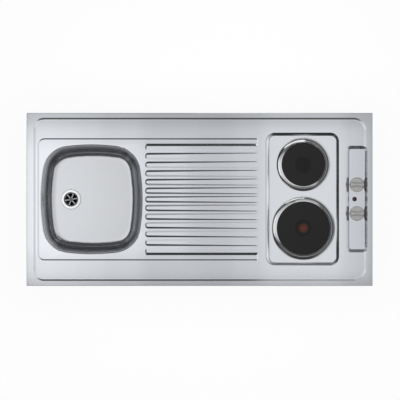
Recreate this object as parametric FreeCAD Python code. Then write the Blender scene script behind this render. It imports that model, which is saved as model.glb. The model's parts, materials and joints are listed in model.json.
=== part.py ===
"""Lay-on kitchenette top: pressed steel sink, drainer and two-plate electric hob.

Millimetres. +X runs from the bowl to the hob, +Y to the wall, +Z up. The origin is the centre
of the plane on which the folded edges rest on the base cabinets.
"""
import FreeCAD
import Part
import math
import os
from FreeCAD import Vector

# ---------------------------------------------------------------- driving dimensions
LENGTH = 1200.0            # overall, left to right
DEPTH = 600.0              # overall, front to back
EDGE_HEIGHT = 40.0         # folded edge
EDGE_BEND = 1.6            # outside radius of the folded edge
SHEET = 0.8                # pressed stainless sheet
RETURN_FLANGE = 12.0       # flange folded under the battens
CLEAR = 0.3                # ordinary gap between pieces that move past each other
RUNNING = 0.05             # radial gap of a spindle in its bearing

RIM_LEFT, RIM_RIGHT, RIM_SIDE = 24.0, 22.0, 17.0   # flat border round the field
RIM_STEP, RIM_RUN = 4.0, 7.0       # fall and width of the step
RIM_CORNER, RIM_CORNER_RIGHT = 36.0, 44.0
RIM_ROUND = 4.0

RECESS_EDGE = 14.0         # rim to the wet area, at the left
RECESS_SIDE = 23.5         # bowl to the edge of the wet area, front and back
RECESS_STEP, RECESS_RUN, RECESS_CORNER = 2.5, 4.5, 24.0
RECESS_ROUND = 1.6
CHANNEL_END = 9.0          # corner radius where the side channels end

BOWL_INSET = 12.0          # edge of the wet area to the bowl
BOWL_LENGTH, BOWL_WIDTH = 350.0, 377.0
BOWL_SIDE_ARC = 670.0      # the four sides bow outwards
BOWL_CORNER = 92.0
BOWL_DEPTH = 151.5
BOWL_DRAFT = 17.0          # the walls close in by this much on the way down
BOWL_FOOT = 33.0
MOUTH_ROLL, MOUTH_LIP = 4.0, 5.0

DRAINER_GAP = 15.0         # bowl to the ends of the ribs
DRAINER_LAND = 27.0        # flat between the drainer and the hob
RIB_COUNT = 13
RIB_CHANNEL = 32.0         # edge of the wet area to the middle of the outer ribs
RIB_WIDTH_BOWL, RIB_WIDTH_HOB = 9.2, 19.5    # flat top of a rib at its two ends
RIB_SLOPE, OUTER_RIB_SLOPE = 7.0, 9.0        # width of a rib's side; the outermost sides are wider
RIB_SECTION = ((0.0, 0.0), (0.16, 0.28), (0.84, 0.72), (1.3, 1.55))   # shares of fall and width

HOB_RIGHT, HOB_LENGTH, HOB_WIDTH = 115.0, 255.0, 462.0
HOB_CENTRE_Y = 1.0
HOB_STEP, HOB_RUN, HOB_CORNER, HOB_FOOT, HOB_ROUND = 10.0, 11.5, 31.0, 6.0, 6.0
CONTROL_RIGHT, CONTROL_LENGTH, CONTROL_WIDTH = 19.5, 73.5, 370.0
CONTROL_STEP, CONTROL_RUN, CONTROL_CORNER, CONTROL_FOOT = 10.0, 11.0, 19.0, 4.0
CONTROL_RIGHT_RUN = 4.5    # the wall beside the rim is steeper

BATTEN = 14.0              # wooden battens inside the folded edges
STRAP_WIDTH, STRAP_THICK, STRAP_DROP, STRAP_RISE = 25.0, 2.0, 36.0, 30.0
STRAP_SPACING, STRAP_HOLE = 400.0, 5.0
STRAP_HOLE_DROP = 20.0
STIFFENER_WIDTH, STIFFENER_HEIGHT, STIFFENER_SHEET = 34.0, 18.0, 1.0
STIFFENER_SPACING = 170.0

PLATE_IN_X = 130.5         # left edge of the hob recess to the plate centres
PLATES = {"rear": (152.0, 120.3), "front": (186.0, -101.2)}   # plate diameter, Y from hob centre
DISH_DIA, DISH_DEPTH = 57.0, 1.2
RING_BAND, RING_CONE = 12.5, 5.5      # convex band and inner cone of the spill ring
RING_RISE, RING_CONE_RISE, RING_SHEET = 6.3, 2.2, 0.6
RING_LAP = 7.0             # the ring's overlap on the panel round its hole
PLATE_PROUD = 1.2          # plate above the spill ring
PLATE_THICK = 18.0
PLATE_RIM, PLATE_WEB = 11.0, 8.0
COVER_SHEET = 0.8
DOT_DIA, DOT_THICK = 36.0, 0.25
BRIDGE_WIDTH, BRIDGE_THICK, BRIDGE_GAP = 22.0, 3.0, 5.0
STUD_DIA, STUD_TAIL = 8.0, 9.0
NUT_ACROSS, NUT_HEIGHT = 13.0, 6.5
TERMINAL_X, TERMINAL_Y, TERMINAL_Z, TERMINAL_OFFSET = 44.0, 16.0, 13.0, 36.0

BOX_DEPTH = 84.0           # hob box, from the underside of the field
BOX_SHEET, BOX_LIP = 0.8, 9.0
BOX_MARGIN = 4.2           # hob recess to the wall of the box
BOX_STUD_DIA, BOX_STUD_LENGTH, BOX_NUT_ACROSS, BOX_NUT_HEIGHT = 4.0, 9.0, 7.0, 3.2

KNOB_DIA, KNOB_SKIRT, KNOB_HEIGHT = 50.5, 8.0, 21.0
KNOB_SPACING, KNOB_WALL, KNOB_HUB = 100.0, 2.6, 12.0
KNOB_IN_X, KNOB_NUB = 34.0, 1.3      # right edge of the control recess to the knobs; index nub
GRIP_WIDTH, GRIP_ROUND = 13.0, 3.0
SPINDLE_DIA, SPINDLE_FLAT, SPINDLE_HOLE = 6.0, 1.2, 13.0
SWITCH_X, SWITCH_Y, SWITCH_Z = 44.0, 44.0, 36.0
SWITCH_SCREWS, SWITCH_SCREW_DIA = 28.0, 4.0
LAMP_X, LAMP_DIA, LAMP_HOLE, LAMP_HEIGHT = -8.5, 16.0, 10.0, 3.2

WASTE_X = 96.0             # left edge of the bowl to the waste
WASTE_FLANGE, WASTE_WELL, WASTE_WELL_DEPTH = 70.0, 48.0, 9.0
WASTE_HOLE = 52.0
SPOKES, SPOKE_WIDTH, HUB_DIA, SPOKE_REACH = 6, 4.0, 13.0, 43.0
SEAL = 1.0
WASTE_BODY, WASTE_BODY_DROP, OUTLET_DIA, OUTLET_BORE, OUTLET_LENGTH = 76.0, 34.0, 47.8, 40.0, 42.0
OVERFLOW_DROP = 44.5       # mouth to the centre of the overflow holes
OVERFLOW_HOLE, OVERFLOW_PITCH = 5.5, 11.0
ELBOW_DIA, ELBOW_THICK, PIPE_DIA, PIPE_WALL = 62.0, 15.0, 20.0, 1.8
PIPE_BEND = 26.0

# ---------------------------------------------------------------- derived levels and places
Z_RIM = EDGE_HEIGHT
Z_FIELD = Z_RIM - RIM_STEP
Z_WET = Z_FIELD - RECESS_STEP
Z_HOB = Z_FIELD - HOB_STEP
Z_CONTROL = Z_FIELD - CONTROL_STEP
Z_LIP = Z_WET - MOUTH_ROLL - MOUTH_LIP
Z_BOWL = Z_WET - BOWL_DEPTH

FIELD_BOX = (-LENGTH / 2 + RIM_LEFT, LENGTH / 2 - RIM_RIGHT, -DEPTH / 2 + RIM_SIDE, DEPTH / 2 - RIM_SIDE)
HOB_X1 = LENGTH / 2 - HOB_RIGHT
HOB_BOX = (HOB_X1 - HOB_LENGTH, HOB_X1, HOB_CENTRE_Y - HOB_WIDTH / 2, HOB_CENTRE_Y + HOB_WIDTH / 2)
CONTROL_X1 = LENGTH / 2 - CONTROL_RIGHT
CONTROL_BOX = (CONTROL_X1 - CONTROL_LENGTH, CONTROL_X1,
               HOB_CENTRE_Y - CONTROL_WIDTH / 2, HOB_CENTRE_Y + CONTROL_WIDTH / 2)
WET_BOX = (FIELD_BOX[0] + RECESS_EDGE, HOB_BOX[0] - DRAINER_LAND,
           -BOWL_WIDTH / 2 - RECESS_SIDE, BOWL_WIDTH / 2 + RECESS_SIDE)
BOWL_X = WET_BOX[0] + BOWL_INSET + BOWL_LENGTH / 2
RIB_PITCH = (WET_BOX[3] - WET_BOX[2] - 2 * RIB_CHANNEL) / (RIB_COUNT - 1)
RIB_START = BOWL_X + BOWL_LENGTH / 2 + DRAINER_GAP
PLATE_X = HOB_BOX[0] + PLATE_IN_X
KNOB_X = CONTROL_BOX[1] - KNOB_IN_X
WASTE_AT = BOWL_X - BOWL_LENGTH / 2 + WASTE_X


# ---------------------------------------------------------------- helpers
def arc(cx, cy, z, radius, a0, a1):
    """Arc about a centre, angles in degrees."""
    def at(a):
        return Vector(cx + radius * math.cos(math.radians(a)), cy + radius * math.sin(math.radians(a)), z)
    return Part.Arc(at(a0), at((a0 + a1) / 2), at(a1)).toShape()


def rounded(box, r, z, grow=0.0, r_right=None):
    """Rounded rectangle as a wire; grow offsets it outwards."""
    x0, x1, y0, y1 = box[0] - grow, box[1] + grow, box[2] - grow, box[3] + grow
    left = r + grow
    right = left if r_right is None else r_right + grow
    edges = [Part.makeLine(Vector(x0 + left, y0, z), Vector(x1 - right, y0, z)),
             arc(x1 - right, y0 + right, z, right, -90, 0),
             Part.makeLine(Vector(x1, y0 + right, z), Vector(x1, y1 - right, z)),
             arc(x1 - right, y1 - right, z, right, 0, 90),
             Part.makeLine(Vector(x1 - right, y1, z), Vector(x0 + left, y1, z)),
             arc(x0 + left, y1 - left, z, left, 90, 180),
             Part.makeLine(Vector(x0, y1 - left, z), Vector(x0, y0 + left, z)),
             arc(x0 + left, y0 + left, z, left, 180, 270)]
    return Part.Wire(edges)


def prism(wire, height):
    return Part.Face(wire).extrude(Vector(0, 0, height))


def block(x0, x1, y0, y1, z0, z1):
    return Part.makeBox(x1 - x0, y1 - y0, z1 - z0, Vector(x0, y0, z0))


def cylinder(radius, height, x, y, z, axis=Vector(0, 0, 1)):
    return Part.makeCylinder(radius, height, Vector(x, y, z), axis)


def turned(points, x=0.0, y=0.0):
    """Solid of revolution about the vertical through x, y from a closed r, z profile."""
    wire = Part.makePolygon([Vector(r, 0, z) for r, z in points + points[:1]])
    solid = Part.Face(wire).revolve(Vector(0, 0, 0), Vector(0, 0, 1), 360)
    solid.translate(Vector(x, y, 0))
    return solid


def flat_edges(shape, z, box, tol=1e-4):
    """Edges that lie in the plane z inside a plan box."""
    found = []
    for e in shape.Edges:
        b = e.BoundBox
        if abs(b.ZMin - z) < tol and abs(b.ZMax - z) < tol:
            if b.XMin > box[0] and b.XMax < box[1] and b.YMin > box[2] and b.YMax < box[3]:
                found.append(e)
    return found


def around(box, margin):
    return (box[0] - margin, box[1] + margin, box[2] - margin, box[3] + margin)


def bowl_outline(grow, z):
    """Mouth of the bowl: four wide side arcs joined by four tangent corner arcs."""
    hx, hy = BOWL_LENGTH / 2, BOWL_WIDTH / 2
    ax, by = BOWL_SIDE_ARC - hx, BOWL_SIDE_ARC - hy        # centres of the side arcs, beyond the middle
    reach = BOWL_SIDE_ARC - BOWL_CORNER
    gap = math.hypot(ax, by)
    ux, uy = ax / gap, by / gap                            # from the front centre to the left centre
    h = math.sqrt(reach ** 2 - gap ** 2 / 4)
    cx, cy = -ax / 2 + h * uy, -by / 2 + h * ux            # centre of the corner arc
    a = math.degrees(math.atan2(cy, cx + ax))
    b = math.degrees(math.atan2(cy + by, cx))
    side, corner = BOWL_SIDE_ARC + grow, BOWL_CORNER + grow
    edges = [arc(BOWL_X - ax, 0, z, side, -a, a),
             arc(BOWL_X + cx, cy, z, corner, a, b),
             arc(BOWL_X, -by, z, side, b, 180 - b),
             arc(BOWL_X - cx, cy, z, corner, 180 - b, 180 - a),
             arc(BOWL_X + ax, 0, z, side, 180 - a, 180 + a),
             arc(BOWL_X - cx, -cy, z, corner, 180 + a, 180 + b),
             arc(BOWL_X, by, z, side, 180 + b, 360 - b),
             arc(BOWL_X + cx, -cy, z, corner, 360 - b, 360 - a)]
    return Part.Wire(edges)


def hexagon(across, height, x, y, z):
    r = across / math.sqrt(3)
    pts = [Vector(x + r * math.cos(math.radians(60 * i)), y + r * math.sin(math.radians(60 * i)), z)
           for i in range(7)]
    return Part.Face(Part.makePolygon(pts)).extrude(Vector(0, 0, height))


def screw_down(x, y, z, dia, length, head_dia, head_height):
    """Pan-head screw with its head sitting on z and its shank pointing down."""
    head = cylinder(head_dia / 2, head_height, x, y, z)
    head = head.makeFillet(head_height * 0.4, flat_edges(head, z + head_height, (-1e4, 1e4, -1e4, 1e4)))
    head = head.cut(block(x - head_dia, x + head_dia, y - 0.4, y + 0.4, z + head_height * 0.55, z + 9))
    return head.fuse(cylinder(dia / 2, length, x, y, z - length))


# ---------------------------------------------------------------- pressed panel
def pocket(box, corner, z_top, step, run, foot, t, r_right=None, right_run=None):
    """Recess with drafted walls and a rounded foot; t gives the underside of the sheet."""
    def outline(level):
        grow, right = (level * r / step + t * math.hypot(1.0, r / step) for r in (run, right_run or run))
        return rounded((box[0], box[1] + right - grow, box[2], box[3]), corner, z_top + level, grow, r_right)
    solid = Part.makeLoft([outline(-step - t), outline(RIM_STEP + 2.0)], True, True)
    return solid.makeFillet(foot + t, flat_edges(solid, z_top - step - t, around(box, 50)))


def drainer(t):
    """Ribs that leave the wet area and fade into the field, with the ramp between them."""
    z0, z1 = Z_WET - 3.0, Z_FIELD
    x0, x1 = RIB_START, WET_BOX[1]
    x_end = x1 + 20.0
    side = RIB_PITCH * (RIB_COUNT - 1) / 2
    ramp = Part.Face(Part.makePolygon([Vector(x0, -side, z0), Vector(x_end, -side, z0),
                                       Vector(x_end, -side, z1), Vector(x1, -side, z1),
                                       Vector(x0, -side, Z_WET), Vector(x0, -side, z0)]))
    body = ramp.extrude(Vector(0, 2 * side, 0))
    levels = [(z1 - fall * RECESS_STEP, share) for fall, share in RIB_SECTION]
    levels.append((z0, levels[-1][1]))
    for i in range(RIB_COUNT):
        y = RIB_PITCH * (i - (RIB_COUNT - 1) / 2)
        wires = []
        for z, share in levels:
            spread = share * RIB_SLOPE
            low = share * (OUTER_RIB_SLOPE if i == 0 else RIB_SLOPE)
            high = share * (OUTER_RIB_SLOPE if i == RIB_COUNT - 1 else RIB_SLOPE)
            a, b = RIB_WIDTH_BOWL / 2, RIB_WIDTH_HOB / 2
            nose = RIB_WIDTH_BOWL * 0.45 + spread
            ya, yb = y - a - low, y + a + high
            yc, yd = y - b - low, y + b + high
            if i == 0:
                yc = ya
            if i == RIB_COUNT - 1:
                yd = yb
            k = nose * (1 - math.sqrt(0.5))
            xs = x0 - spread
            wires.append(Part.Wire([
                Part.makeLine(Vector(xs + nose, ya, z), Vector(x_end, yc, z)),
                Part.makeLine(Vector(x_end, yc, z), Vector(x_end, yd, z)),
                Part.makeLine(Vector(x_end, yd, z), Vector(xs + nose, yb, z)),
                Part.Arc(Vector(xs + nose, yb, z), Vector(xs + k, yb - k, z), Vector(xs, yb - nose, z)).toShape(),
                Part.makeLine(Vector(xs, yb - nose, z), Vector(xs, ya + nose, z)),
                Part.Arc(Vector(xs, ya + nose, z), Vector(xs + k, ya + k, z), Vector(xs + nose, ya, z)).toShape()]))
        body = body.fuse(Part.makeLoft(wires, True, True))
    body.translate(Vector(0, 0, -t))
    return body


def pressed_form(t):
    """Solid below the upper surface (t = 0) or below the underside of the sheet (t = SHEET)."""
    base = block(-LENGTH / 2 + t, LENGTH / 2 - t, -DEPTH / 2 + t, DEPTH / 2 - t, t, Z_RIM - t)
    base = base.makeFillet(EDGE_BEND - t, flat_edges(base, Z_RIM - t, (-1e4, 1e4, -1e4, 1e4)))
    base = base.cut(pocket(FIELD_BOX, RIM_CORNER, Z_RIM, RIM_STEP, RIM_RUN, RIM_ROUND, t, RIM_CORNER_RIGHT))
    wet = pocket(WET_BOX, RECESS_CORNER, Z_FIELD, RECESS_STEP, RECESS_RUN, RECESS_ROUND, t, CHANNEL_END)
    base = base.cut(wet.cut(drainer(t)))
    base = base.cut(pocket(HOB_BOX, HOB_CORNER, Z_FIELD, HOB_STEP, HOB_RUN, HOB_FOOT, t))
    base = base.cut(pocket(CONTROL_BOX, CONTROL_CORNER, Z_FIELD, CONTROL_STEP, CONTROL_RUN, CONTROL_FOOT, t,
                           None, CONTROL_RIGHT_RUN))
    hob_lip = flat_edges(base, Z_FIELD - t, around(HOB_BOX, 5))
    base = base.makeFillet(HOB_ROUND - t, hob_lip)
    mouth = prism(bowl_outline(t, -5), Z_RIM + 10)
    base = base.cut(mouth)
    lip = flat_edges(base, Z_WET - t, (BOWL_X - BOWL_LENGTH / 2 - 2 - t, BOWL_X + BOWL_LENGTH / 2 + 2 + t,
                                       -BOWL_WIDTH / 2 - 2 - t, BOWL_WIDTH / 2 + 2 + t))
    return base.makeFillet(MOUTH_ROLL - t, lip)


def hole_radius(dia):
    return dia / 2 + RING_CONE + RING_BAND - RING_LAP


def worktop_panel():
    panel = pressed_form(0).cut(pressed_form(SHEET))
    inner = RETURN_FLANGE
    panel = panel.cut(block(-LENGTH / 2 + inner, LENGTH / 2 - inner, -DEPTH / 2 + inner, DEPTH / 2 - inner,
                            -1, SHEET * 2))
    panel = panel.cut(prism(bowl_outline(SHEET * 4, -1), Z_LIP + 1))
    for name, (dia, y) in PLATES.items():
        panel = panel.cut(cylinder(hole_radius(dia), 40, PLATE_X, HOB_CENTRE_Y + y, 0))
    for s in (-1, 1):
        y = HOB_CENTRE_Y + s * KNOB_SPACING / 2
        panel = panel.cut(cylinder(SPINDLE_HOLE / 2, 40, KNOB_X, y, 0))
        for q in (-1, 1):
            panel = panel.cut(cylinder(SWITCH_SCREW_DIA / 2 + CLEAR, 40, KNOB_X, y + q * SWITCH_SCREWS / 2, 0))
    panel = panel.cut(cylinder(LAMP_HOLE / 2 + CLEAR, 40, KNOB_X + LAMP_X, HOB_CENTRE_Y, 0))
    return panel


def sink_bowl():
    """Drawn bowl, butt-welded under the lip of the panel."""
    def form(t):
        rows = [bowl_outline(t - BOWL_DRAFT, Z_BOWL - t), bowl_outline(t, Z_LIP)]
        solid = Part.makeLoft(rows, True, True)
        return solid.makeFillet(BOWL_FOOT + t, flat_edges(solid, Z_BOWL - t, (-1e4, 1e4, -1e4, 1e4)))
    bowl = form(SHEET).cut(form(0))
    bowl = bowl.cut(cylinder(WASTE_HOLE / 2, 20, WASTE_AT, 0, Z_BOWL - 10))
    holes = [(0, 0)]
    for ring in (1, 2):
        for i in range(6 * ring):
            side, step = divmod(i, ring)
            a, b = math.radians(60 * side), math.radians(60 * side + 120)
            holes.append((OVERFLOW_PITCH * (ring * math.cos(a) + step * math.cos(b)),
                          OVERFLOW_PITCH * (ring * math.sin(a) + step * math.sin(b))))
    for u, v in holes:
        bowl = bowl.cut(on_wall(cylinder(OVERFLOW_HOLE / 2, 12, v, u, -6)))
    return bowl, form(SHEET)


def on_wall(shape):
    """Place a shape built along +Z onto the bowl's left wall, +Z pointing out of the bowl."""
    depth = Z_LIP - (Z_WET - OVERFLOW_DROP)
    x = BOWL_X - BOWL_LENGTH / 2 + BOWL_DRAFT * depth / (Z_LIP - Z_BOWL)
    tilt = math.degrees(math.atan2(BOWL_DRAFT, Z_LIP - Z_BOWL))
    shape.Placement = FreeCAD.Placement(Vector(x, 0, Z_WET - OVERFLOW_DROP),
                                        FreeCAD.Rotation(Vector(0, 1, 0), -90 - tilt)).multiply(shape.Placement)
    return shape


def battens():
    """Wooden battens inside the folded edge, mitre-free: the long ones run through."""
    x, y = LENGTH / 2 - SHEET, DEPTH / 2 - SHEET
    z0, z1 = SHEET, Z_RIM - SHEET
    def batten(x0, x1, y0, y1):
        b = block(x0, x1, y0, y1, z0, z1)
        return b.makeChamfer(EDGE_BEND, flat_edges(b, z1, (-1e4, 1e4, -1e4, 1e4)))
    return {"front_batten": batten(-x, x, -y, -y + BATTEN),
            "back_batten": batten(-x, x, y - BATTEN, y),
            "left_batten": batten(-x, -x + BATTEN, -y + BATTEN, y - BATTEN),
            "right_batten": batten(x - BATTEN, x, -y + BATTEN, y - BATTEN)}


def fixings(left, right):
    """Four straps screwed inside the end battens; they hang into the cabinet."""
    straps, screws = [], []
    for s, batten in ((-1, left), (1, right)):
        face = s * (LENGTH / 2 - SHEET - BATTEN)
        for y in (-STRAP_SPACING / 2, STRAP_SPACING / 2):
            x0, x1 = sorted((face, face - s * STRAP_THICK))
            strap = block(x0, x1, y - STRAP_WIDTH / 2, y + STRAP_WIDTH / 2, -STRAP_DROP, STRAP_RISE)
            ends = [e for e in strap.Edges if abs(e.BoundBox.XLength - STRAP_THICK) < 1e-6]
            strap = strap.makeFillet(STRAP_WIDTH * 0.3, ends)
            strap = strap.cut(cylinder(STRAP_HOLE / 2, 20, -10 + face, y, -STRAP_HOLE_DROP, Vector(1, 0, 0)))
            for z in (STRAP_RISE * 0.25, STRAP_RISE * 0.75):
                screw = screw_down(0, 0, 0, 3.5, BATTEN - 2 + STRAP_THICK, 7, 2.2)
                screw.rotate(Vector(0, 0, 0), Vector(0, 1, 0), -s * 90)
                screw.translate(Vector(face - s * STRAP_THICK, y, z))
                strap = strap.cut(cylinder(3.5 / 2, 40, face - 20, y, z, Vector(1, 0, 0)))
                screws.append(screw)
            straps.append(strap)
    holes = Part.makeCompound(screws)
    return Part.makeCompound(straps), holes, left.cut(holes), right.cut(holes)


def cross_stiffeners():
    """Two folded channels across the top, under the drainer, from batten to batten."""
    y = DEPTH / 2 - SHEET - BATTEN
    z1 = Z_WET - SHEET
    middle = (RIB_START + WET_BOX[1]) / 2
    bars = []
    for s in (-1, 1):
        x = middle + s * STIFFENER_SPACING / 2
        bar = block(x - STIFFENER_WIDTH / 2, x + STIFFENER_WIDTH / 2, -y, y, z1 - STIFFENER_HEIGHT, z1)
        long_edges = [e for e in bar.Edges if abs(e.BoundBox.YLength - 2 * y) < 1e-6 and e.BoundBox.ZMax > z1 - 1]
        bar = bar.makeFillet(3.0, long_edges)
        inside = block(x - STIFFENER_WIDTH / 2 + STIFFENER_SHEET, x + STIFFENER_WIDTH / 2 - STIFFENER_SHEET,
                       -y - 1, y + 1, z1 - STIFFENER_HEIGHT - 1, z1 - STIFFENER_SHEET)
        inner_edges = [e for e in inside.Edges if abs(e.BoundBox.YLength - 2 * y - 2) < 1e-6
                       and e.BoundBox.ZMax > z1 - 2]
        bars.append(bar.cut(inside.makeFillet(2.0, inner_edges)))
    return Part.makeCompound(bars)


def sound_pad():
    """Damping pad glued under the bowl, beside the waste."""
    x0 = WASTE_AT + WASTE_BODY / 2 + 12
    x1 = BOWL_X + BOWL_LENGTH / 2 - BOWL_DRAFT - BOWL_FOOT - 12
    return prism(rounded((x0, x1, -95, 95), 15, Z_BOWL - SHEET - 2.5), 2.5)


def hob_tray():
    """Galvanised tray that closes the electrical space under the hob and the controls."""
    x0, x1 = HOB_BOX[0] - BOX_MARGIN, LENGTH / 2 - SHEET - BATTEN - 6
    y0, y1 = HOB_BOX[2] - BOX_MARGIN, HOB_BOX[3] + BOX_MARGIN
    z1 = Z_FIELD - SHEET
    z0 = z1 - BOX_DEPTH
    outer = block(x0, x1, y0, y1, z0, z1)
    tall = [e for e in outer.Edges if abs(e.BoundBox.ZLength - BOX_DEPTH) < 1e-6]
    outer = outer.makeFillet(6.0, tall)
    inner = block(x0 + BOX_SHEET, x1 - BOX_SHEET, y0 + BOX_SHEET, y1 - BOX_SHEET, z0 + BOX_SHEET, z1 + 1)
    tall = [e for e in inner.Edges if abs(e.BoundBox.ZLength - inner.BoundBox.ZLength) < 1e-6]
    inner = inner.makeFillet(6.0 - BOX_SHEET, tall)
    lip = block(x0 - BOX_LIP, x1 - 30, y0 - BOX_LIP, y1 + BOX_LIP, z1 - BOX_SHEET, z1)
    tray = outer.fuse(lip).cut(inner)
    tray = tray.cut(block(x1 - 30, x1 + 1, y0 - 1, y1 + 1, Z_CONTROL - SHEET - 5, z1 + 1))
    for i in range(7):
        for s in (-1, 1):
            x = PLATE_X - 90 + 30 * i
            slot = rounded((x - 4, x + 4, s * 150 - 35, s * 150 + 35), 3.99, z0 - 1)
            tray = tray.cut(prism(slot, 3))
    studs, nuts = [], []
    mid = BOX_LIP / 2
    spots = [(x, y) for x in (x0 + 20, (x0 + x1) / 2 - 20, x1 - 60) for y in (y0 - mid, y1 + mid)]
    spots += [(x0 - mid, y0 + 90), (x0 - mid, y1 - 90)]
    for x, y in spots:
        studs.append(cylinder(BOX_STUD_DIA / 2, BOX_STUD_LENGTH, x, y, z1 - BOX_STUD_LENGTH))
        tray = tray.cut(cylinder(BOX_STUD_DIA / 2 + CLEAR, 4, x, y, z1 - 2))
        nut = hexagon(BOX_NUT_ACROSS, BOX_NUT_HEIGHT, x, y, z1 - BOX_SHEET - BOX_NUT_HEIGHT)
        nuts.append(nut.cut(cylinder(BOX_STUD_DIA / 2, 20, x, y, z1 - 20)))
    gland_at = (KNOB_X - 46, y1, z0 + 28)
    tray = tray.cut(cylinder(8.0, 10, gland_at[0], y1 - 5, gland_at[2], Vector(0, 1, 0)))
    return tray, Part.makeCompound(studs), Part.makeCompound(nuts), gland_at, z0 + BOX_SHEET


def gland(at):
    """Cable gland in the back wall of the tray and its nut inside."""
    x, y, z = at
    def turned_y(points):
        s = turned(points)
        s.rotate(Vector(0, 0, 0), Vector(1, 0, 0), -90)
        s.translate(Vector(x, y, z))
        return s
    body = turned_y([(5.5, -9), (8.0 - RUNNING, -9), (8.0 - RUNNING, 0), (12, 0), (12, 6), (10.5, 8),
                     (10.5, 15), (9, 19), (5.5, 19)])
    nut = hexagon(20, 4, 0, 0, 0)
    nut = nut.cut(cylinder(8.0, 10, 0, 0, -2))
    nut.rotate(Vector(0, 0, 0), Vector(1, 0, 0), 90)
    nut.translate(Vector(x, y - BOX_SHEET, z))
    return body, nut


def terminal_strip(x, y, z, nx, wide, deep, high, below):
    """Ceramic or plastic terminal block with a row of brass screws; below hangs it from z."""
    z0 = z - high if below else z
    body = block(x - wide / 2, x + wide / 2, y - deep / 2, y + deep / 2, z0, z0 + high)
    body = body.makeFillet(1.2, [e for e in body.Edges if abs(e.BoundBox.ZLength - high) < 1e-6])
    screws = []
    for i in range(nx):
        sx = x + (i - (nx - 1) / 2) * wide / nx
        z_top = z0 if below else z0 + high
        body = body.cut(cylinder(2.6, 5 * 2, sx, y, z_top - 5))
        z_head = z_top + 1.0 if below else z_top - 5 + 0.0
        screws.append(cylinder(2.6, 4.0, sx, y, z_head))
        side = cylinder(2.0, deep + 2, sx, y - deep / 2 - 1, z_top + (8.5 if below else -8.0), Vector(0, 1, 0))
        body = body.cut(side)
    return body, Part.makeCompound(screws)


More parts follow.
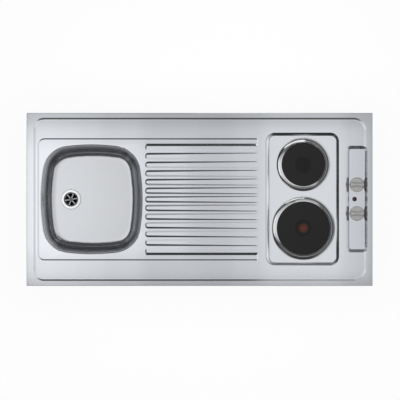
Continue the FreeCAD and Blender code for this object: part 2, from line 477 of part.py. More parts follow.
def hotplate(prefix, dia, y):
    """Cast-iron plate, spill ring, seal, cover, bridge, stud, nut and terminal block."""
    radius = dia / 2
    z_ring = Z_HOB + RING_RISE + RING_CONE_RISE
    top = z_ring + PLATE_PROUD
    dish = DISH_DIA / 2
    foot = top - PLATE_THICK
    web = top - PLATE_WEB
    plate = turned([(0, top - DISH_DEPTH), (dish - 2, top - DISH_DEPTH), (dish, top - 0.3), (dish + 2, top),
                    (radius - 2.0, top), (radius, top - PLATE_PROUD), (radius, top - PLATE_THICK * 0.55),
                    (radius - 2.5, foot), (radius - PLATE_RIM, foot), (radius - PLATE_RIM - 2, web),
                    (dish + 2, web), (dish - 1, foot), (0, foot)], PLATE_X, y)
    r0, r1, r2 = radius, radius + RING_CONE, radius + RING_CONE + RING_BAND
    zc = Z_HOB + RING_RISE
    def ring_line(t):
        """Section of the ring from the plate outwards, t below the upper surface."""
        mid = Vector(r1 + RING_BAND * 0.56 - t * 0.6, 0, Z_HOB + RING_RISE * 0.62 - t * 0.8)
        return (Vector(r0, 0, z_ring - t), Vector(r1, 0, zc + 0.5 - t), Vector(r1 + 0.8, 0, zc - t),
                mid, Vector(r2 - t, 0, Z_HOB))
    a, b = ring_line(0.0), ring_line(RING_SHEET)
    edges = [Part.makeLine(a[0], a[1]), Part.makeLine(a[1], a[2]), Part.Arc(a[2], a[3], a[4]).toShape(),
             Part.makeLine(a[4], b[4]), Part.Arc(b[4], b[3], b[2]).toShape(), Part.makeLine(b[2], b[1]),
             Part.makeLine(b[1], b[0]), Part.makeLine(b[0], a[0])]
    ring = Part.Face(Part.Wire(edges)).revolve(Vector(0, 0, 0), Vector(0, 0, 1), 360)
    ring.translate(Vector(PLATE_X, y, 0))
    hole = hole_radius(dia)
    s0, s1 = hole + 0.6, r2 - RING_SHEET - 0.3
    seal = turned([(s0, Z_HOB), (s1, Z_HOB), (s1 - 2.0, Z_HOB + 1.4), (s0, Z_HOB + 1.4)], PLATE_X, y)
    stud_r = STUD_DIA / 2
    cover = turned([(stud_r, foot - COVER_SHEET), (radius - 4, foot - COVER_SHEET), (radius - 4, foot),
                    (stud_r, foot)], PLATE_X, y)
    z_bar = foot - COVER_SHEET - BRIDGE_GAP - BRIDGE_THICK
    z_sheet = Z_HOB - SHEET
    reach = hole + 6.0
    bar = block(-reach, reach, -BRIDGE_WIDTH / 2, BRIDGE_WIDTH / 2, z_bar, z_sheet)
    void = block(-reach + BRIDGE_THICK, reach - BRIDGE_THICK, -BRIDGE_WIDTH, BRIDGE_WIDTH,
                 z_bar + BRIDGE_THICK, z_sheet + 5)
    outer = [e for e in bar.Edges if e.BoundBox.ZMax < z_bar + 1e-6 and e.BoundBox.YLength > BRIDGE_WIDTH - 1e-6]
    inner = [e for e in void.Edges if e.BoundBox.ZMax < z_bar + BRIDGE_THICK + 1e-6
             and e.BoundBox.YLength > BRIDGE_WIDTH]
    bridge = bar.makeFillet(4.5, outer).cut(void.makeFillet(1.5, inner))
    bridge = bridge.cut(cylinder(stud_r + CLEAR, 60, 0, 0, z_bar - 20))
    bridge.translate(Vector(PLATE_X, y, 0))
    z_end = z_bar - NUT_HEIGHT - STUD_TAIL
    stud = cylinder(stud_r, foot - z_end, PLATE_X, y, z_end)
    stud = stud.makeChamfer(1.0, flat_edges(stud, z_end, (-1e4, 1e4, -1e4, 1e4)))
    nut = hexagon(NUT_ACROSS, NUT_HEIGHT, PLATE_X, y, z_bar - NUT_HEIGHT)
    nut = nut.cut(cylinder(stud_r, 60, PLATE_X, y, z_bar - 30))
    block_at = y - TERMINAL_OFFSET
    body, tags = terminal_strip(PLATE_X, block_at, foot - COVER_SHEET, 4, TERMINAL_X, TERMINAL_Y,
                                TERMINAL_Z, True)
    pieces = {"hotplate": plate, "spill_ring": ring, "ring_seal": seal, "plate_cover": cover,
              "clamp_bridge": bridge, "centre_stud": stud, "stud_nut": nut,
              "terminal_block": body, "terminal_screws": tags}
    out = {prefix + "_" + key: value for key, value in pieces.items()}
    if prefix == "front":
        out["fast_plate_dot"] = cylinder(DOT_DIA / 2, DOT_THICK, PLATE_X, y, top - DISH_DEPTH)
    return out


def control(prefix, y):
    """Knob on a flatted spindle, with the rotary switch under the panel."""
    x = KNOB_X
    r = KNOB_DIA / 2
    z0 = Z_CONTROL + 3 * CLEAR
    z_skirt, z_top = z0 + KNOB_SKIRT, z0 + KNOB_HEIGHT
    skirt = turned([(0, z0), (r - 0.8, z0), (r, z0 + 0.8), (r, z_skirt - 2.5), (r - 1.8, z_skirt - 0.5),
                    (r - 4.5, z_skirt), (0, z_skirt + 0.6)], x, y)
    half = GRIP_WIDTH / 2
    grip = block(x - r + 1.2, x + r - 1.2, y - half, y + half, z_skirt - 1.5, z_top)
    grip = grip.common(cylinder(r - 1.2, 60, x, y, z0))
    for s in (-1, 1):
        grip = grip.cut(cylinder(60.0, 60, x, y + s * (half + 60.0 - 2.2), z0))
    rim = [e for e in grip.Edges if e.BoundBox.ZMin > z_top - 1e-4]
    grip = grip.makeFillet(GRIP_ROUND, rim)
    nub = block(x - r - KNOB_NUB, x - r + 3, y - 1.5, y + 1.5, z0 + 1.5, z_skirt - 2.5)
    knob = skirt.fuse(nub.makeFillet(0.5, [e for e in nub.Edges if e.BoundBox.XMax < x - r])).fuse(grip)
    knob = knob.cut(turned([(KNOB_HUB / 2, z0 - 1), (r - KNOB_WALL, z0 - 1), (r - KNOB_WALL, z_skirt - 3.5),
                            (KNOB_HUB / 2, z_skirt - 3.5)], x, y))
    knob = knob.cut(cylinder(1.6, 3, x - r + 6.5, y, z_top - 0.6))
    z_tip = z_top - 6.0
    spindle_r = SPINDLE_DIA / 2
    flat = block(x + spindle_r - SPINDLE_FLAT, x + 10, y - 10, y + 10, Z_CONTROL + 2.5, z_tip + 1)
    upper = cylinder(spindle_r, z_tip - (Z_CONTROL + 2.5), x, y, Z_CONTROL + 2.5).cut(flat)
    z_switch = Z_CONTROL - SHEET
    spindle = upper.fuse(cylinder(spindle_r, Z_CONTROL + 2.5 - (z_switch - 28), x, y, z_switch - 28))
    knob = knob.cut(spindle)
    body = block(x - SWITCH_X / 2, x + SWITCH_X / 2, y - SWITCH_Y / 2, y + SWITCH_Y / 2,
                 z_switch - SWITCH_Z, z_switch)
    body = body.makeFillet(2.0, [e for e in body.Edges if abs(e.BoundBox.ZLength - SWITCH_Z) < 1e-6])
    neck_r = SPINDLE_HOLE / 2 - CLEAR
    body = body.fuse(cylinder(neck_r, SHEET + 0.2, x, y, z_switch))
    body = body.cut(cylinder(spindle_r + RUNNING, 29.0 + 5, x, y, z_switch - 28 - 0.2))
    screws = []
    for s in (-1, 1):
        ys = y + s * SWITCH_SCREWS / 2
        screws.append(screw_down(x, ys, Z_CONTROL, SWITCH_SCREW_DIA, 9.0, 7.0, 2.2))
        body = body.cut(cylinder(SWITCH_SCREW_DIA / 2, 20, x, ys, z_switch - 12))
        for i in (-1, 0, 1):
            tab = block(x + i * 13 - 3.2, x + i * 13 + 3.2, y + s * 13 - 0.4, y + s * 13 + 0.4,
                        z_switch - SWITCH_Z - 7, z_switch - SWITCH_Z)
            body = body.fuse(tab)
    seal = turned([(neck_r, Z_CONTROL), (neck_r + 2.2, Z_CONTROL), (neck_r + 2.2, Z_CONTROL + 0.7),
                   (neck_r, Z_CONTROL + 0.7)], x, y)
    return {prefix + "_knob": knob, prefix + "_spindle": spindle, prefix + "_spindle_seal": seal,
            prefix + "_switch_body": body, prefix + "_switch_screws": Part.makeCompound(screws)}


def pilot_lamp():
    """Lens on the panel, body through it, spring clip below."""
    x, y, r = KNOB_X + LAMP_X, HOB_CENTRE_Y, LAMP_DIA / 2
    lens = turned([(0, Z_CONTROL), (r, Z_CONTROL), (r, Z_CONTROL + 1.2), (r - 1.2, Z_CONTROL + LAMP_HEIGHT * 0.8),
                   (r * 0.5, Z_CONTROL + LAMP_HEIGHT * 0.97), (0, Z_CONTROL + LAMP_HEIGHT)], x, y)
    body = cylinder(LAMP_HOLE / 2, 24, x, y, Z_CONTROL - 24)
    for s in (-1, 1):
        body = body.fuse(block(x + s * 2.5 - 0.4, x + s * 2.5 + 0.4, y - 1.6, y + 1.6, Z_CONTROL - 31, Z_CONTROL - 23))
    clip = turned([(LAMP_HOLE / 2, Z_CONTROL - SHEET - 1.5), (LAMP_HOLE / 2 + 3, Z_CONTROL - SHEET - 1.0),
                   (LAMP_HOLE / 2 + 3, Z_CONTROL - SHEET), (LAMP_HOLE / 2, Z_CONTROL - SHEET)], x, y)
    return {"lamp_lens": lens, "lamp_body": body, "lamp_clip": clip}


def waste():
    """Strainer flange, its screw, two seals and the trap cup below the bowl."""
    x, z = WASTE_AT, Z_BOWL
    rf, rw = WASTE_FLANGE / 2, WASTE_WELL / 2
    zf = z + SEAL
    t = 1.0
    zw = zf - WASTE_WELL_DEPTH
    flange = turned([(0, zw), (rw - 2, zw), (rw, zw + 2), (rw, zf + 0.6), (rw + 1.5, zf + 1.6), (rf - 1.5, zf + 1.0),
                     (rf, zf), (rw + t, zf), (rw + t, zw), (rw - 1, zw - t), (0, zw - t)], x, 0)
    for i in range(SPOKES):
        a = 360.0 / SPOKES * (i + 0.5) + 10.0
        r0, r1 = HUB_DIA / 2, SPOKE_REACH / 2
        h0 = math.degrees(math.asin(SPOKE_WIDTH / 2 / r0))
        h1 = math.degrees(math.asin(SPOKE_WIDTH / 2 / r1))
        half = 180.0 / SPOKES
        p = [arc(x, 0, zw - 3, r0, a - half + h0, a + half - h0), arc(x, 0, zw - 3, r1, a - half + h1, a + half - h1)]
        ends = [Part.makeLine(p[0].Vertexes[-1].Point, p[1].Vertexes[-1].Point),
                Part.makeLine(p[0].Vertexes[0].Point, p[1].Vertexes[0].Point)]
        sector = Part.Face(Part.Wire(Part.__sortEdges__(p + ends)))
        flange = flange.cut(sector.extrude(Vector(0, 0, 6)))
    screw = screw_down(x, 0, zw, 6.0, 24.0, 11.0, 2.6)
    flange = flange.cut(screw)
    top_seal = turned([(WASTE_HOLE / 2, z), (rf - 1, z), (rf - 1, zf), (WASTE_HOLE / 2, zf)], x, 0)
    zu = z - SHEET
    rb = WASTE_BODY / 2
    under = turned([(WASTE_HOLE / 2, zu - 2), (rb - 2, zu - 2), (rb - 2, zu), (WASTE_HOLE / 2, zu)], x, 0)
    zb = zu - 2
    wall = 2.5
    drop = zb - WASTE_BODY_DROP
    out_r, bore = OUTLET_DIA / 2, OUTLET_BORE / 2
    body = turned([(WASTE_HOLE / 2, zb), (rb, zb), (rb, zb - 5), (rb - 4, zb - 7), (rb - 4, drop + 4), (rb - 9, drop),
                   (out_r, drop), (out_r, drop - OUTLET_LENGTH), (bore, drop - OUTLET_LENGTH), (bore, drop + wall),
                   (rb - 4 - wall, drop + wall + 2), (rb - 4 - wall, zb - 7), (WASTE_HOLE / 2, zb - 4)], x, 0)
    boss = cylinder(6.5, 14, x, 0, zw - t - 25)
    for i in range(3):
        arm = block(0, rb - 5, -1.3, 1.3, zw - t - 25, zw - t - 15)
        arm.rotate(Vector(0, 0, 0), Vector(0, 0, 1), 120 * i + 60)
        arm.translate(Vector(x, 0, 0))
        boss = boss.fuse(arm)
    body = body.fuse(boss).cut(cylinder(3.0, 60, x, 0, zw - 50))
    return {"waste_flange": flange, "waste_screw": screw, "waste_top_seal": top_seal,
            "waste_under_seal": under, "waste_body": body}, drop


def overflow(bowl_solid, waste_body, drop):
    """Elbow screwed to the wall behind the holes and the pipe down to the trap cup."""
    r = ELBOW_DIA / 2
    seal = on_wall(cylinder(r - 1, 4, 0, 0, -1.5).cut(cylinder(r - 5, 8, 0, 0, -3))).cut(bowl_solid)
    cup = cylinder(r, ELBOW_THICK, 0, 0, 2.5)
    cup = cup.makeFillet(4.0, flat_edges(cup, 2.5 + ELBOW_THICK, (-1e4, 1e4, -1e4, 1e4)))
    cup = cup.cut(cylinder(r - 5, ELBOW_THICK - 2.5, 0, 0, 2.4))
    cup = cup.fuse(cylinder(4.5, ELBOW_THICK - 1, 0, 0, 2.6)).cut(cylinder(2.0, ELBOW_THICK - 3, 0, 0, 2.0))
    elbow = on_wall(cup)
    screw = screw_down(0, 0, 0.05, 4.0, 12.0, 9.0, 1.8)
    screw.rotate(Vector(0, 0, 0), Vector(1, 0, 0), 180)
    screw = on_wall(screw)
    rp = PIPE_DIA / 2
    centre = elbow.BoundBox
    x0 = (centre.XMin + centre.XMax) / 2 - 1.0
    z_top = centre.ZMin + 8.0
    z_pipe = drop + WASTE_BODY_DROP * 0.5
    x_end = WASTE_AT - WASTE_BODY / 2 + 4 + 0.6
    socket = cylinder(rp + 2, 16, x0, 0, centre.ZMin - 8)
    core = on_wall(cylinder(r - 5, ELBOW_THICK - 2.5, 0, 0, 2.4))
    elbow = elbow.fuse(socket.cut(core)).cut(bowl_solid).cut(seal).cut(cylinder(rp, z_top - centre.ZMin + 10, x0, 0, centre.ZMin - 10))
    b = PIPE_BEND
    k = b * (1 - math.sqrt(0.5))
    path = Part.Wire([Part.makeLine(Vector(x0, 0, z_top - 4), Vector(x0, 0, z_pipe + b)),
                      Part.Arc(Vector(x0, 0, z_pipe + b), Vector(x0 + k, 0, z_pipe + k),
                               Vector(x0 + b, 0, z_pipe)).toShape(),
                      Part.makeLine(Vector(x0 + b, 0, z_pipe), Vector(x_end + 2, 0, z_pipe))])
    def tube(radius):
        circle = Part.Wire(Part.makeCircle(radius, Vector(x0, 0, z_top - 4), Vector(0, 0, 1)))
        return path.makePipeShell([circle], True, True)
    pipe = tube(rp).cut(tube(rp - PIPE_WALL))
    waste_body = waste_body.cut(cylinder(rp, 12, x_end - 6, 0, z_pipe, Vector(1, 0, 0)))
    collar = cylinder(rp + 2.5, 10, x_end - 8, 0, z_pipe, Vector(1, 0, 0))
    cavity = cylinder(WASTE_BODY / 2 - 6.0, 60, WASTE_AT, 0, z_pipe - 30)
    collar = collar.cut(cylinder(rp, 20, x_end - 12, 0, z_pipe, Vector(1, 0, 0))).cut(cavity)
    waste_body = waste_body.fuse(collar)
    return {"overflow_seal": seal, "overflow_elbow": elbow, "overflow_screw": screw,
            "overflow_pipe": pipe.cut(cavity)}, waste_body


# ---------------------------------------------------------------- assembly
NODES = {"worktop_panel": worktop_panel()}
bowl, bowl_solid = sink_bowl()
NODES["sink_bowl"] = bowl
NODES.update(battens())
(NODES["fixing_straps"], NODES["strap_screws"],
 NODES["left_batten"], NODES["right_batten"]) = fixings(NODES["left_batten"], NODES["right_batten"])
NODES["cross_stiffeners"] = cross_stiffeners()
NODES["bowl_sound_pad"] = sound_pad()
tray, NODES["hob_box_studs"], NODES["hob_box_nuts"], gland_at, tray_floor = hob_tray()
NODES["hob_box"] = tray
NODES["cable_gland"], NODES["gland_nut"] = gland(gland_at)
NODES["mains_terminal_block"], NODES["mains_terminal_screws"] = terminal_strip(
    gland_at[0], gland_at[1] - 60, tray_floor, 5, 60, 24, 18, False)
for side, (dia, offset) in PLATES.items():
    NODES.update(hotplate(side, dia, HOB_CENTRE_Y + offset))
NODES.update(control("rear", HOB_CENTRE_Y + KNOB_SPACING / 2))
NODES.update(control("front", HOB_CENTRE_Y - KNOB_SPACING / 2))
NODES.update(pilot_lamp())
waste_nodes, cup_floor = waste()
NODES.update(waste_nodes)
overflow_nodes, NODES["waste_body"] = overflow(bowl_solid, NODES["waste_body"], cup_floor)
NODES.update(overflow_nodes)

os.makedirs("parts", exist_ok=True)
for name, shape in NODES.items():
    print(name, shape.isValid(), len(shape.Solids), round(shape.Volume / 1000, 2), "cm3", len(shape.Faces), "faces")
    shape.exportStep("parts/" + name + ".step")
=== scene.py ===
# %% [markdown]
# # Kitchenette top with sink and hob
# The part comes from CAD as a fixed frame of separate solids. Here it gets its finish: satin steel,
# cast iron and grey knobs. Metres everywhere, +X from the bowl to the hob, +Y to the wall, +Z up.

# %% Load the frame
import json
import math
import bpy
import bmesh
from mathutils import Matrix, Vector


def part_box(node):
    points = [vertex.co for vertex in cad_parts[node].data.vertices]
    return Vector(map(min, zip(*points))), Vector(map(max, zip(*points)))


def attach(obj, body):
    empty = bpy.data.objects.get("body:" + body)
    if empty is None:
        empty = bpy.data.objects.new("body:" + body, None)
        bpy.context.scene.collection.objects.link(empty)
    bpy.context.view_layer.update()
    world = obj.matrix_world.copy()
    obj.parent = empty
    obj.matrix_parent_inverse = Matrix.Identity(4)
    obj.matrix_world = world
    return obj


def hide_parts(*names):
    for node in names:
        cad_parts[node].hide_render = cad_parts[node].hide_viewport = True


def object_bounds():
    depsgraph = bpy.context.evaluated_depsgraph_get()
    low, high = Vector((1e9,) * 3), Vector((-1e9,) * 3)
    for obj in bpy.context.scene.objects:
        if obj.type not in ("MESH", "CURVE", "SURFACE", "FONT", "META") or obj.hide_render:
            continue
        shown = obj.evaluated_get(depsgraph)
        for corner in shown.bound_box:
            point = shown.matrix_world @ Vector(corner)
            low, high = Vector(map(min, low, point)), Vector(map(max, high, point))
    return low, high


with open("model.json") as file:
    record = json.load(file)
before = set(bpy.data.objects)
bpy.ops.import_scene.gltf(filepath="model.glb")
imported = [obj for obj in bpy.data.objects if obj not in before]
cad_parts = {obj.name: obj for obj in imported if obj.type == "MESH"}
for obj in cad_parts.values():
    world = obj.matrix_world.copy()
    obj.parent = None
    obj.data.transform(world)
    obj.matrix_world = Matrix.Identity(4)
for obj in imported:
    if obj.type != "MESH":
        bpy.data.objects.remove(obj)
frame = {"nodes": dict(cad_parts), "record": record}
cad_box = [[round(v, 6) for v in corner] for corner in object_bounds()]
print("CAD box", cad_box)

# %% [markdown]
# ## Camera
# The photograph looks straight down. A long lens high above keeps the rim and the bowl's floor nearly
# the same size, as they are in the photograph. Its focal length follows from the sensor's width, the
# camera's height above the rim and what the picture spans there.

# %% Camera straight above
TOP_Z = 0.040              # the rim, 40 mm above the cabinets
VIEW_WIDTH = 1.387         # what the picture spans from side to side at the rim
VIEW_CENTRE = (0.0014, -0.0022)
CAMERA_HEIGHT = 8.5
SENSOR = 36.0              # millimetres
camera_data = bpy.data.cameras.new("camera")
camera_data.sensor_width = SENSOR
camera_data.lens = SENSOR * CAMERA_HEIGHT / VIEW_WIDTH
camera_data.clip_end = 100.0
camera = bpy.data.objects.new("camera", camera_data)
camera.location = (*VIEW_CENTRE, TOP_Z + CAMERA_HEIGHT)
bpy.context.scene.collection.objects.link(camera)
bpy.context.scene.camera = camera
print("lens", round(camera_data.lens, 1), "mm")

# %% [markdown]
# ## Helpers for shader trees
# A shader is a small network of nodes. Three helpers keep the networks below short: one for a sum or a
# product, one for a soft step from one value to another, and one for a soft bump between two steps.

# %% Maths, a soft step and a soft bump
def math_node(tree, operation, a, b=None):
    """A Math node; each input is a socket or a number."""
    node = tree.nodes.new("ShaderNodeMath")
    node.operation = operation
    for socket, value in zip(node.inputs, (a, b)):
        if value is None:
            continue
        if isinstance(value, (int, float)):
            socket.default_value = value
        else:
            tree.links.new(value, socket)
    return node.outputs[0]


def smooth_step(tree, value, start, end, low=0.0, high=1.0):
    """low before start, high after end and a soft change between."""
    node = tree.nodes.new("ShaderNodeMapRange")
    node.interpolation_type = "SMOOTHSTEP"
    for name, number in (("From Min", start), ("From Max", end), ("To Min", low), ("To Max", high)):
        node.inputs[name].default_value = number
    tree.links.new(value, node.inputs["Value"])
    return node.outputs[0]


def soft_bump(tree, value, rise, drop, high):
    """high between the soft steps rise and drop, which are (start, end), and nothing elsewhere."""
    return math_node(tree, "MULTIPLY", smooth_step(tree, value, *rise, 0.0, high),
                     smooth_step(tree, value, *drop, 1.0, 0.0))


# %% [markdown]
# ## Room
# Satin metal is only as good as what it reflects. The room could be an image, but a few soft steps on
# the direction of a ray are enough and need no file. It is dim, with a pale wall at the right and a
# darker one at the back. Walls of the pressed recesses lie near 45 degrees, so they mirror this low part
# of the room: pale at the left sides, dark at the right. A little higher runs a paler band, which the
# level sheet mirrors only when it is seen from a low angle. The heights below are the sine of the angle
# above the horizon.

# %% Tones of the room
SURROUND = 0.018                                    # everywhere
OVERHEAD, OVERHEAD_RISE, OVERHEAD_DROP = 0.065, (0.38, 0.50), (0.82, 0.90)
RIGHT, LEFT, BACK, FRONT = 1.30, 0.02, 0.20, 0.02   # low walls
LOW_WALLS_END = (0.10, 0.38)
BAND, BAND_RISE, BAND_DROP = 0.42, (0.205, 0.27), (0.36, 0.44)
BAND_DIM = 0.05                                     # what is left of it to the left and in front
BAND_STEPS = (("X", -0.80, -0.60), ("Y", -0.93, -0.72))

world = bpy.data.worlds.new("studio")
bpy.context.scene.world = world
world.use_nodes = True
sky = world.node_tree
sky.nodes.clear()
split = sky.nodes.new("ShaderNodeSeparateXYZ")
sky.links.new(sky.nodes.new("ShaderNodeTexCoord").outputs["Generated"], split.inputs[0])
height = split.outputs["Z"]
tone = math_node(sky, "ADD", soft_bump(sky, height, OVERHEAD_RISE, OVERHEAD_DROP, OVERHEAD), SURROUND)
low_part = smooth_step(sky, height, *LOW_WALLS_END, 1.0, 0.0)
for axis, plus, minus in (("X", RIGHT, LEFT), ("Y", BACK, FRONT)):
    value = split.outputs[axis]
    square = math_node(sky, "MULTIPLY", math_node(sky, "MULTIPLY", value, value), low_part)
    wall = smooth_step(sky, value, -0.1, 0.1, minus, plus)
    tone = math_node(sky, "ADD", tone, math_node(sky, "MULTIPLY", square, wall))
band = soft_bump(sky, height, BAND_RISE, BAND_DROP, BAND)
for axis, dim, full in BAND_STEPS:
    band = math_node(sky, "MULTIPLY", band,
                     smooth_step(sky, split.outputs[axis], dim, full, BAND_DIM, 1.0))
tone = math_node(sky, "ADD", tone, band)
print("room tones: overhead", OVERHEAD, "right", RIGHT, "left", LEFT, "back", BACK, "front", FRONT)

# %% [markdown]
# ## White behind the part
# The picture's own background is white. Light Path's Is Camera Ray tells the rays that come straight
# from the camera from those that bounce off the part, so only the first ones see the white.

# %% Room for the part, white for the camera
room = sky.nodes.new("ShaderNodeBackground")
sky.links.new(tone, room.inputs["Strength"])
white = sky.nodes.new("ShaderNodeBackground")
white.inputs["Color"].default_value = (1, 1, 1, 1)
chooser = sky.nodes.new("ShaderNodeMixShader")
sky.links.new(sky.nodes.new("ShaderNodeLightPath").outputs["Is Camera Ray"], chooser.inputs[0])
sky.links.new(room.outputs[0], chooser.inputs[1])
sky.links.new(white.outputs[0], chooser.inputs[2])
sky.links.new(chooser.outputs[0], sky.nodes.new("ShaderNodeOutputWorld").inputs[0])
bpy.context.scene.view_settings.view_transform = "Standard"
print("view transform", bpy.context.scene.view_settings.view_transform)

# %% [markdown]
# ## Softboxes
# The lamps hang close above the sheet and are hardly larger than it, so their edge stands at another
# angle for each rib of the drainer: the ribs at the back go dark on their far side, those at the front
# on their near side, and the borders fall off. Slices from left to right give the slow change of tone
# along the sheet; a weaker strip brightens the middle of the wet side. A low pane of light behind the
# hob gives the spill rings their arc. One lamp more is hidden from reflections and fills the matt pieces.

# %% A level lamp
def soft_lamp(name, x_range, y_range, z, tone):
    """A level lamp over a rectangle; tone is its brightness as a mirror below would show it."""
    (x0, x1), (y0, y1) = x_range, y_range
    lamp = bpy.data.lights.new(name, "AREA")
    lamp.shape = "RECTANGLE"
    lamp.size, lamp.size_y = x1 - x0, y1 - y0
    lamp.energy = math.pi * lamp.size * lamp.size_y * tone
    thing = bpy.data.objects.new(name, lamp)
    thing.location = ((x0 + x1) / 2, (y0 + y1) / 2, z)
    thing.visible_camera = False
    bpy.context.scene.collection.objects.link(thing)
    return thing


# %% Softboxes in slices
RISE = 0.5                                # height of the softboxes above the sheet
STRETCH = 1 + RISE / CAMERA_HEIGHT        # a level sheet mirrors them this much farther out
SLICES = ((-0.63, -0.50, 0.95), (-0.50, -0.42, 0.90), (-0.42, -0.34, 0.84),     # from x, to x, tone
          (-0.34, -0.20, 0.77), (-0.20, 0.00, 0.67), (0.00, 0.12, 0.64),
          (0.12, 0.22, 0.71), (0.22, 0.50, 0.825), (0.50, 0.65, 0.70))
FRONT_Y, BACK_Y = -0.333, 0.365
HOB_X, HOB_BACK_Y = 0.2, 0.50             # over the hob they reach farther back
CORE = 0.3                                # share of the light that comes from a smaller core below
CORE_FRONT_Y, CORE_BACK_Y, CORE_END_X, CORE_DROP = -0.275, 0.255, 0.585, 0.01
for k, (x0, x1, tone) in enumerate(SLICES):
    back = HOB_BACK_Y if x0 > HOB_X else BACK_Y
    soft_lamp(f"softbox_{k}", (x0 * STRETCH, x1 * STRETCH), (FRONT_Y * STRETCH, back * STRETCH),
              TOP_Z + RISE, tone * (1 - CORE))
    soft_lamp(f"core_{k}", (x0 * STRETCH, min(x1, CORE_END_X) * STRETCH),
              (CORE_FRONT_Y * STRETCH, CORE_BACK_Y * STRETCH), TOP_Z + RISE - CORE_DROP, tone * CORE)
print(len(SLICES), "softboxes with brighter cores")

# %% Strip, pane and fill
soft_lamp("middle", (-0.66, -0.05), (-0.20, 0.20), TOP_Z + 0.47, 0.14)
soft_lamp("pane", (-0.02, 0.40), (0.43, 0.54), TOP_Z + 0.25, 1.8)
fill = soft_lamp("fill", (-1.5, 1.5), (-1.5, 1.5), 2.6, 2.5)
fill.visible_glossy = False
print("a strip over the wet side, a pane behind the hob and a fill lamp")

# %% [markdown]
# ## Floor
# A plain white floor lies just below the trap, because the top hangs by its cabinets. Seen by the
# camera or in a reflection it glows white and keeps a part of its own shading, so the shadow stays.

# %% White floor
FLOOR_GAP, FLOOR_SIZE, FLOOR_GLOW = 0.02, 40, 0.93
bpy.ops.mesh.primitive_plane_add(size=FLOOR_SIZE, location=(0, 0, cad_box[0][2] - FLOOR_GAP))
floor = bpy.context.object
floor.name = "floor"
paper = bpy.data.materials.new("white_paper")
paper.use_nodes = True
tree = paper.node_tree
bsdf = tree.nodes["Principled BSDF"]
bsdf.inputs["Base Color"].default_value = (1.0, 1.0, 1.0, 1)
bsdf.inputs["Roughness"].default_value = 0.9
rays = tree.nodes.new("ShaderNodeLightPath")
seen = math_node(tree, "MAXIMUM", rays.outputs["Is Camera Ray"], rays.outputs["Is Glossy Ray"])
seen = math_node(tree, "MAXIMUM", seen, rays.outputs["Is Transmission Ray"])
mix = tree.nodes.new("ShaderNodeMixShader")
tree.links.new(math_node(tree, "MULTIPLY", seen, FLOOR_GLOW), mix.inputs[0])
tree.links.new(bsdf.outputs[0], mix.inputs[1])
tree.links.new(tree.nodes.new("ShaderNodeEmission").outputs[0], mix.inputs[2])
tree.links.new(mix.outputs[0], tree.nodes["Material Output"].inputs[0])
floor.data.materials.append(paper)
print("floor at", round(floor.location.z, 3))

# %% [markdown]
# ## The drain
# The real outlet runs on into a trap, so the holes of the waste look black. A small black card just
# inside the outlet stands for that darkness and keeps the white floor from shining up through it.

# %% Black card in the outlet
CARD_RADIUS, CARD_THICKNESS, CARD_RISE = 0.0205, 0.0004, 0.001
low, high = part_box("waste_body")
outlet = next(mount for mount in frame["record"]["mounts"] if mount["name"] == "waste_outlet")
bpy.ops.mesh.primitive_cylinder_add(vertices=48, radius=CARD_RADIUS, depth=CARD_THICKNESS,
                                    location=(float(outlet["pos_m"][0]), 0, low.z + CARD_RISE))
card = bpy.context.object
card.name = "black_card"
# The card's black is painted shade: the darkness down the drain and trap.
drain_shade = bpy.data.materials.new("drain_shade")
drain_shade.use_nodes = True
bsdf = drain_shade.node_tree.nodes["Principled BSDF"]
bsdf.inputs["Base Color"].default_value = (0.002, 0.002, 0.002, 1)
bsdf.inputs["Roughness"].default_value = 1.0
bsdf.inputs["Specular IOR Level"].default_value = 0.0
card.data.materials.append(drain_shade)
print("black card at", round(card.location.z, 4))

# %% [markdown]
# ## Finishes
# Rolled stainless sheet has a fine grain along its length. Stretched noise on Object coordinates
# changes the roughness and the height by a little, so reflections smear the way they do on the real
# sheet. An image of brushed steel could do it too, but it would need a map of the surface, and noise
# needs none. Constants sit on the shader's own sockets.

# %% Helper for a finish
def finish(name, colour, metallic, roughness, grain, spread, bump=0.0, extra=None):
    """A Principled material with fine noise.

    grain is the noise scale along X, Y and Z in 1/m. spread is how far the roughness strays from its
    middle, bump the height of the grain in metres, and extra sets more of the shader's sockets.
    """
    material = bpy.data.materials.new(name)
    material.use_nodes = True
    tree = material.node_tree
    bsdf = tree.nodes["Principled BSDF"]
    bsdf.inputs["Base Color"].default_value = (*colour, 1)
    bsdf.inputs["Metallic"].default_value = metallic
    bsdf.inputs["Roughness"].default_value = roughness
    for key, value in (extra or {}).items():
        bsdf.inputs[key].default_value = value
    mapping = tree.nodes.new("ShaderNodeMapping")
    mapping.inputs["Scale"].default_value = grain
    noise = tree.nodes.new("ShaderNodeTexNoise")
    noise.inputs["Scale"].default_value = 1.0
    noise.inputs["Detail"].default_value = 3.0
    stray = tree.nodes.new("ShaderNodeMapRange")
    stray.inputs["To Min"].default_value = roughness - spread
    stray.inputs["To Max"].default_value = roughness + spread
    tree.links.new(tree.nodes.new("ShaderNodeTexCoord").outputs["Object"], mapping.inputs[0])
    tree.links.new(mapping.outputs[0], noise.inputs["Vector"])
    tree.links.new(noise.outputs["Fac"], stray.inputs["Value"])
    tree.links.new(stray.outputs[0], bsdf.inputs["Roughness"])
    if bump:
        relief = tree.nodes.new("ShaderNodeBump")
        relief.inputs["Strength"].default_value = 1.0
        relief.inputs["Distance"].default_value = bump
        tree.links.new(noise.outputs["Fac"], relief.inputs["Height"])
        tree.links.new(relief.outputs[0], bsdf.inputs["Normal"])
    return material


